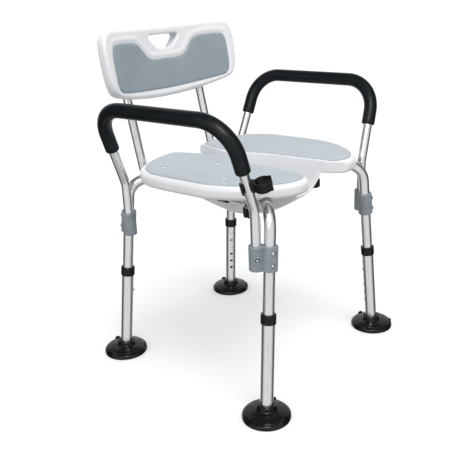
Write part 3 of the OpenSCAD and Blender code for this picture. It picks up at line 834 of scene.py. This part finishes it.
def clamp_field(end):
    arm = ARM_AT[end]
    out = np.array((math.cos(math.radians(ARM_TURN[end])), math.sin(math.radians(ARM_TURN[end])), 0))

    def field(x, y, z):
        away, s = axis_distance(x, y, z, FOOT_AT[end], LEAN[end])
        leg = cut(away - 15.5, np.abs(s - CLAMP_LOW - CLAMP_H / 2) - CLAMP_H / 2, 1.4)
        reach = np.hypot(x - arm[0], y - arm[1])
        socket = cut(reach - 14, np.abs(z - CLAMP_LOW - CLAMP_H / 2) - CLAMP_H / 2, 1.4)
        clamp = join(leg, socket, 0.8)
        clamp = cut(clamp, 11.12 - away, 0.8)
        clamp = cut(clamp, 9.6 - reach, 0.8)
        hole, depth = axis_distance(x, y, z, (arm[0], arm[1], 312), out)
        clamp = cut(clamp, -np.maximum(hole - 4.1, -depth), 0.7)
        # A raised ring around the button hole
        collar = np.maximum(np.abs(hole - 5.6) - 0.9, np.abs(reach - 13.6) - 1.2)
        return join(clamp, np.maximum(collar, 4 - depth), 0.6)

    return field


def make_clamps():
    rivets = []
    for end, end_name in enumerate(END_NAMES):
        middle = (FOOT_AT[end] + LEAN[end] * 314)[:2]
        low = np.minimum(middle - 18, ARM_AT[end] - 16)
        high = np.maximum(middle + 18, ARM_AT[end] + 16)
        for name, side in SIDES:
            clamp = skin(
                f"clamp_body_{end_name}_{name}", (*low, 288), (*high, 338), (0.9, 0.9, 1.1), clamp_field(end)
            )
            placed_by(clamp, Matrix.Identity(4), side < 0)
            dress(clamp, GREY, "frame", [f"clamp_{end_name}_{name}"])
            out = side_of(heading(end, RIVET_TURN[end]), side)
            for h in RIVET_AT:
                at = side_of(FOOT_AT[end] + LEAN[end] * (CLAMP_LOW + h), side)
                dome = [(15.2 + 2.7 * math.cos(a), 4.3 * math.sin(a)) for a in np.linspace(math.pi / 2, 0, 7)]
                rivets.append(turned("rivet", at, out, [(10.2, 0.01), (10.2, 2), (15.2, 2)] + dome, 24))
    dress(merged("rivet_heads", rivets), STEEL, "frame", ["clamp_rivets"])


def snap_button(name, at, out, d, back, tip, flange):
    r = d / 2
    dome = [(tip - r * 0.8 + r * 0.8 * math.cos(a), r * math.sin(a)) for a in np.linspace(math.pi / 2, 0, 8)]
    profile = [(back, 0.01), (back, flange / 2), (back + 1.6, flange / 2), (back + 1.6, r)] + dome
    return turned(name, at, out, profile, 28)


def make_buttons():
    for end, end_name in enumerate(END_NAMES):
        for name, side in SIDES:
            at = side_of(FOOT_AT[end] + LEAN[end] * 151.4, side)
            out = side_of(heading(end, LEG_TURN[end]), side)
            pin = snap_button(f"leg_pin_head_{end_name}_{name}", at, out, 7.6, 6.6, 14.6, 8.6)
            dress(pin, STEEL, f"leg_pin_{end_name}_{name}", [f"leg_button_{end_name}_{name}"])
            a = math.radians(ARM_TURN[end])
            out = side_of((math.cos(a), math.sin(a), 0), side)
            at = side_of((*ARM_AT[end], 312), side)
            pin = snap_button(f"arm_pin_head_{end_name}_{name}", at, out, 6.8, 5.2, 15, 7.6)
            dress(pin, STEEL, f"arm_pin_{end_name}_{name}", [f"arm_button_{end_name}_{name}"])


TAB_TURN = {
    ("front", "left"): 64, ("front", "right"): 43, ("rear", "left"): 64, ("rear", "right"): 107,
}
CUP_R = np.linspace(0, 47, 48)
CUP_TOP = 3.2 + 15.5 * np.sqrt(np.maximum(1 - (CUP_R / 48.5) ** 2, 0))
CUP_UNDER_R = [0, 30, 41, 43, 60]
CUP_UNDER = [3.2, 2.6, 0.6, 0, 0]


def foot_field(end, turn):
    def field(x, y, z):
        r = np.hypot(x, y)
        top = (z - np.interp(r, CUP_R, CUP_TOP)) * 0.87
        cup = cut(cut(top, r - 47, 1.6), np.interp(r, CUP_UNDER_R, CUP_UNDER) - z, 0.8)
        away, s = axis_distance(x, y, z, (0, 0, 0), LEAN[end])
        hub = cut(away - 19, s - 26, 2)
        foot = join(cup, np.maximum(hub, 8 - s), 3)
        angle = np.arctan2(y, x) - math.radians(turn)
        # A thin raised ring and six short ribs on the dome, and three pull tabs at its rim
        ring = np.maximum(np.abs(r - 41) - 0.7, np.maximum(top - 0.5, 2 - z))
        part = 2 * math.pi / 6
        beside = (np.mod(angle, part) - part / 2) * r
        rib = np.maximum(np.abs(r - 36.5) - 4.5, np.maximum(top - 0.6, 3 - z))
        rib = np.maximum(np.abs(beside) - 0.8, rib)
        foot = join(join(foot, ring, 0.5), rib, 0.5)
        third = 2 * math.pi / 3
        around = np.mod(angle + third / 2, third) - third / 2
        tx, ty = r * np.cos(around), r * np.sin(around)
        tab = cut(cut(np.abs(ty) - 5.6, z - 14.5, 3), np.abs(tx - 42.6 - 0.1 * z) - 1.5, 0.9)
        foot = join(foot, np.maximum(tab, 1.5 - z), 1.2)
        return cut(foot, -np.maximum(away - 12.78, 8.5 - s), 0.7)

    return field


def make_legs():
    for end, end_name in enumerate(END_NAMES):
        for name, side in SIDES:
            tag = f"{end_name}_{name}"
            field = foot_field(end, TAB_TURN[end_name, name])
            foot = skin("suction_" + tag, (-48, -48, 0), (48, 48, 27), (1.1, 1.1, 0.9), field)
            at = Matrix.Translation(Vector(FOOT_AT[end]))
            dress(placed_by(foot, at, side < 0), RUBBER, "leg_" + tag, ["foot_" + tag])
            profile = rounded_bar(188.6, 207.4, 14.7, 12.7, 1.2)
            profile = profile[:-1] + [(207.4, 11.2), (205.2, 11.2), (205.2, 12.7)]
            collar = turned("collar_" + tag, side_of(FOOT_AT[end], side), side_of(LEAN[end], side), profile)
            dress(collar, BLACK, "leg_" + tag, ["leg_collar_" + tag])


def knob_field(x, y, z):
    r = np.hypot(x, y)
    part = 2 * math.pi / 8
    around = np.mod(np.arctan2(y, x) + part / 2, part) - part / 2
    flute = np.hypot(r * np.cos(around) - 16.5, r * np.sin(around)) - 3.5
    return cut(cut(cut(r - 15, -flute, 1.2), z - 371.7, 1.6), 353 - z, 2.5)


def make_knobs():
    for name, side in SIDES:
        knob = skin("knob_body_" + name, (-15, -15, 353), (15, 15, 371.7), 0.9, knob_field)
        at = Matrix.Translation(Vector((POST_X * side, KNOB_Y, 0)))
        dress(placed_by(knob, at), BLACK, "hand_screw_" + name, ["seat_knob_" + name])


# ---------------------------------------------------------------- the set


def make_set():
    make_camera()
    corners = [(-FLOOR_REACH, -FLOOR_REACH), (FLOOR_REACH, -FLOOR_REACH)]
    corners += [(FLOOR_REACH, FLOOR_REACH), (-FLOOR_REACH, FLOOR_REACH)]
    floor = new_object("floor", [(x, y, 0) for x, y in corners], [(0, 1, 2, 3)])
    floor.data.materials.append(FLOOR)
    # The object's undersides take the dim light from below instead of the floor's glare
    floor.visible_glossy = False
    floor.visible_diffuse = False
    wall = reflection_wall(STAGE_R, -STAGE_R, STAGE_TOP)
    wall.data.materials.append(wall_strips())
    ceiling = reflection_panel("reflection_ceiling", (0, 0, STAGE_TOP - 100), STAGE_R, 0.2)
    softbox = reflection_panel("reflection_softbox", (-1500, -1250, 1900), 420, 13)
    sun = bpy.data.lights.new("key", "SUN")
    sun.energy, sun.angle = 1.15, math.radians(26)
    key = bpy.data.objects.new("key", sun)
    scene.collection.objects.link(key)
    key.rotation_euler = Vector((-0.16, -0.36, 0.92)).to_track_quat("Z", "Y").to_euler()
    area_light("fill", (-2.4, -0.6, 1.2), (1.2, 1.2), 7)
    world = bpy.data.worlds.new("studio")
    world.use_nodes = True
    tree = world.node_tree
    height = tree.nodes.new("ShaderNodeSeparateXYZ")
    tree.links.new(tree.nodes.new("ShaderNodeTexCoord").outputs["Generated"], height.inputs["Vector"])
    sky = tree.nodes.new("ShaderNodeValToRGB")
    dim, bright, top = (0.34, 0.345, 0.35), (1.0, 1.0, 1.0), (0.95, 0.95, 0.95)
    fill_ramp(sky.color_ramp, [(0.94, dim), (0.97, bright), (1.0, top)])
    # Dim below the horizon, bright above it
    raised = tree.nodes.new("ShaderNodeMath")
    raised.inputs[1].default_value = 1.0
    tree.links.new(height.outputs["Z"], raised.inputs[0])
    tree.links.new(raised.outputs[0], sky.inputs["Fac"])
    tree.links.new(sky.outputs["Color"], tree.nodes["Background"].inputs["Color"])
    scene.world = world


FINISH = {
    "aluminium": ALUMINIUM,
    "brushed_steel": STEEL,
    "matte_plastic": GREY,
    "gloss_plastic": BLACK,
    "rubber": RUBBER,
}


def dress_frame():
    """Materials of the CAD nodes that stay in view."""
    classes = {m["slot"]: m["class"] for m in frame["record"]["materials"]}
    slots = {s["node"]: s["material_slot"] for s in frame["record"]["subparts"]}
    for name, node in frame["nodes"].items():
        if node.hide_render:
            continue
        material = FINISH[classes[slots[name]]]
        if node.material_slots:
            for holder in node.material_slots:
                holder.material = material
        else:
            node.data.materials.append(material)


make_set()
make_seat()
make_backrest()
make_grips()
make_clip()
make_clamps()
make_buttons()
make_legs()
make_knobs()
dress_frame()
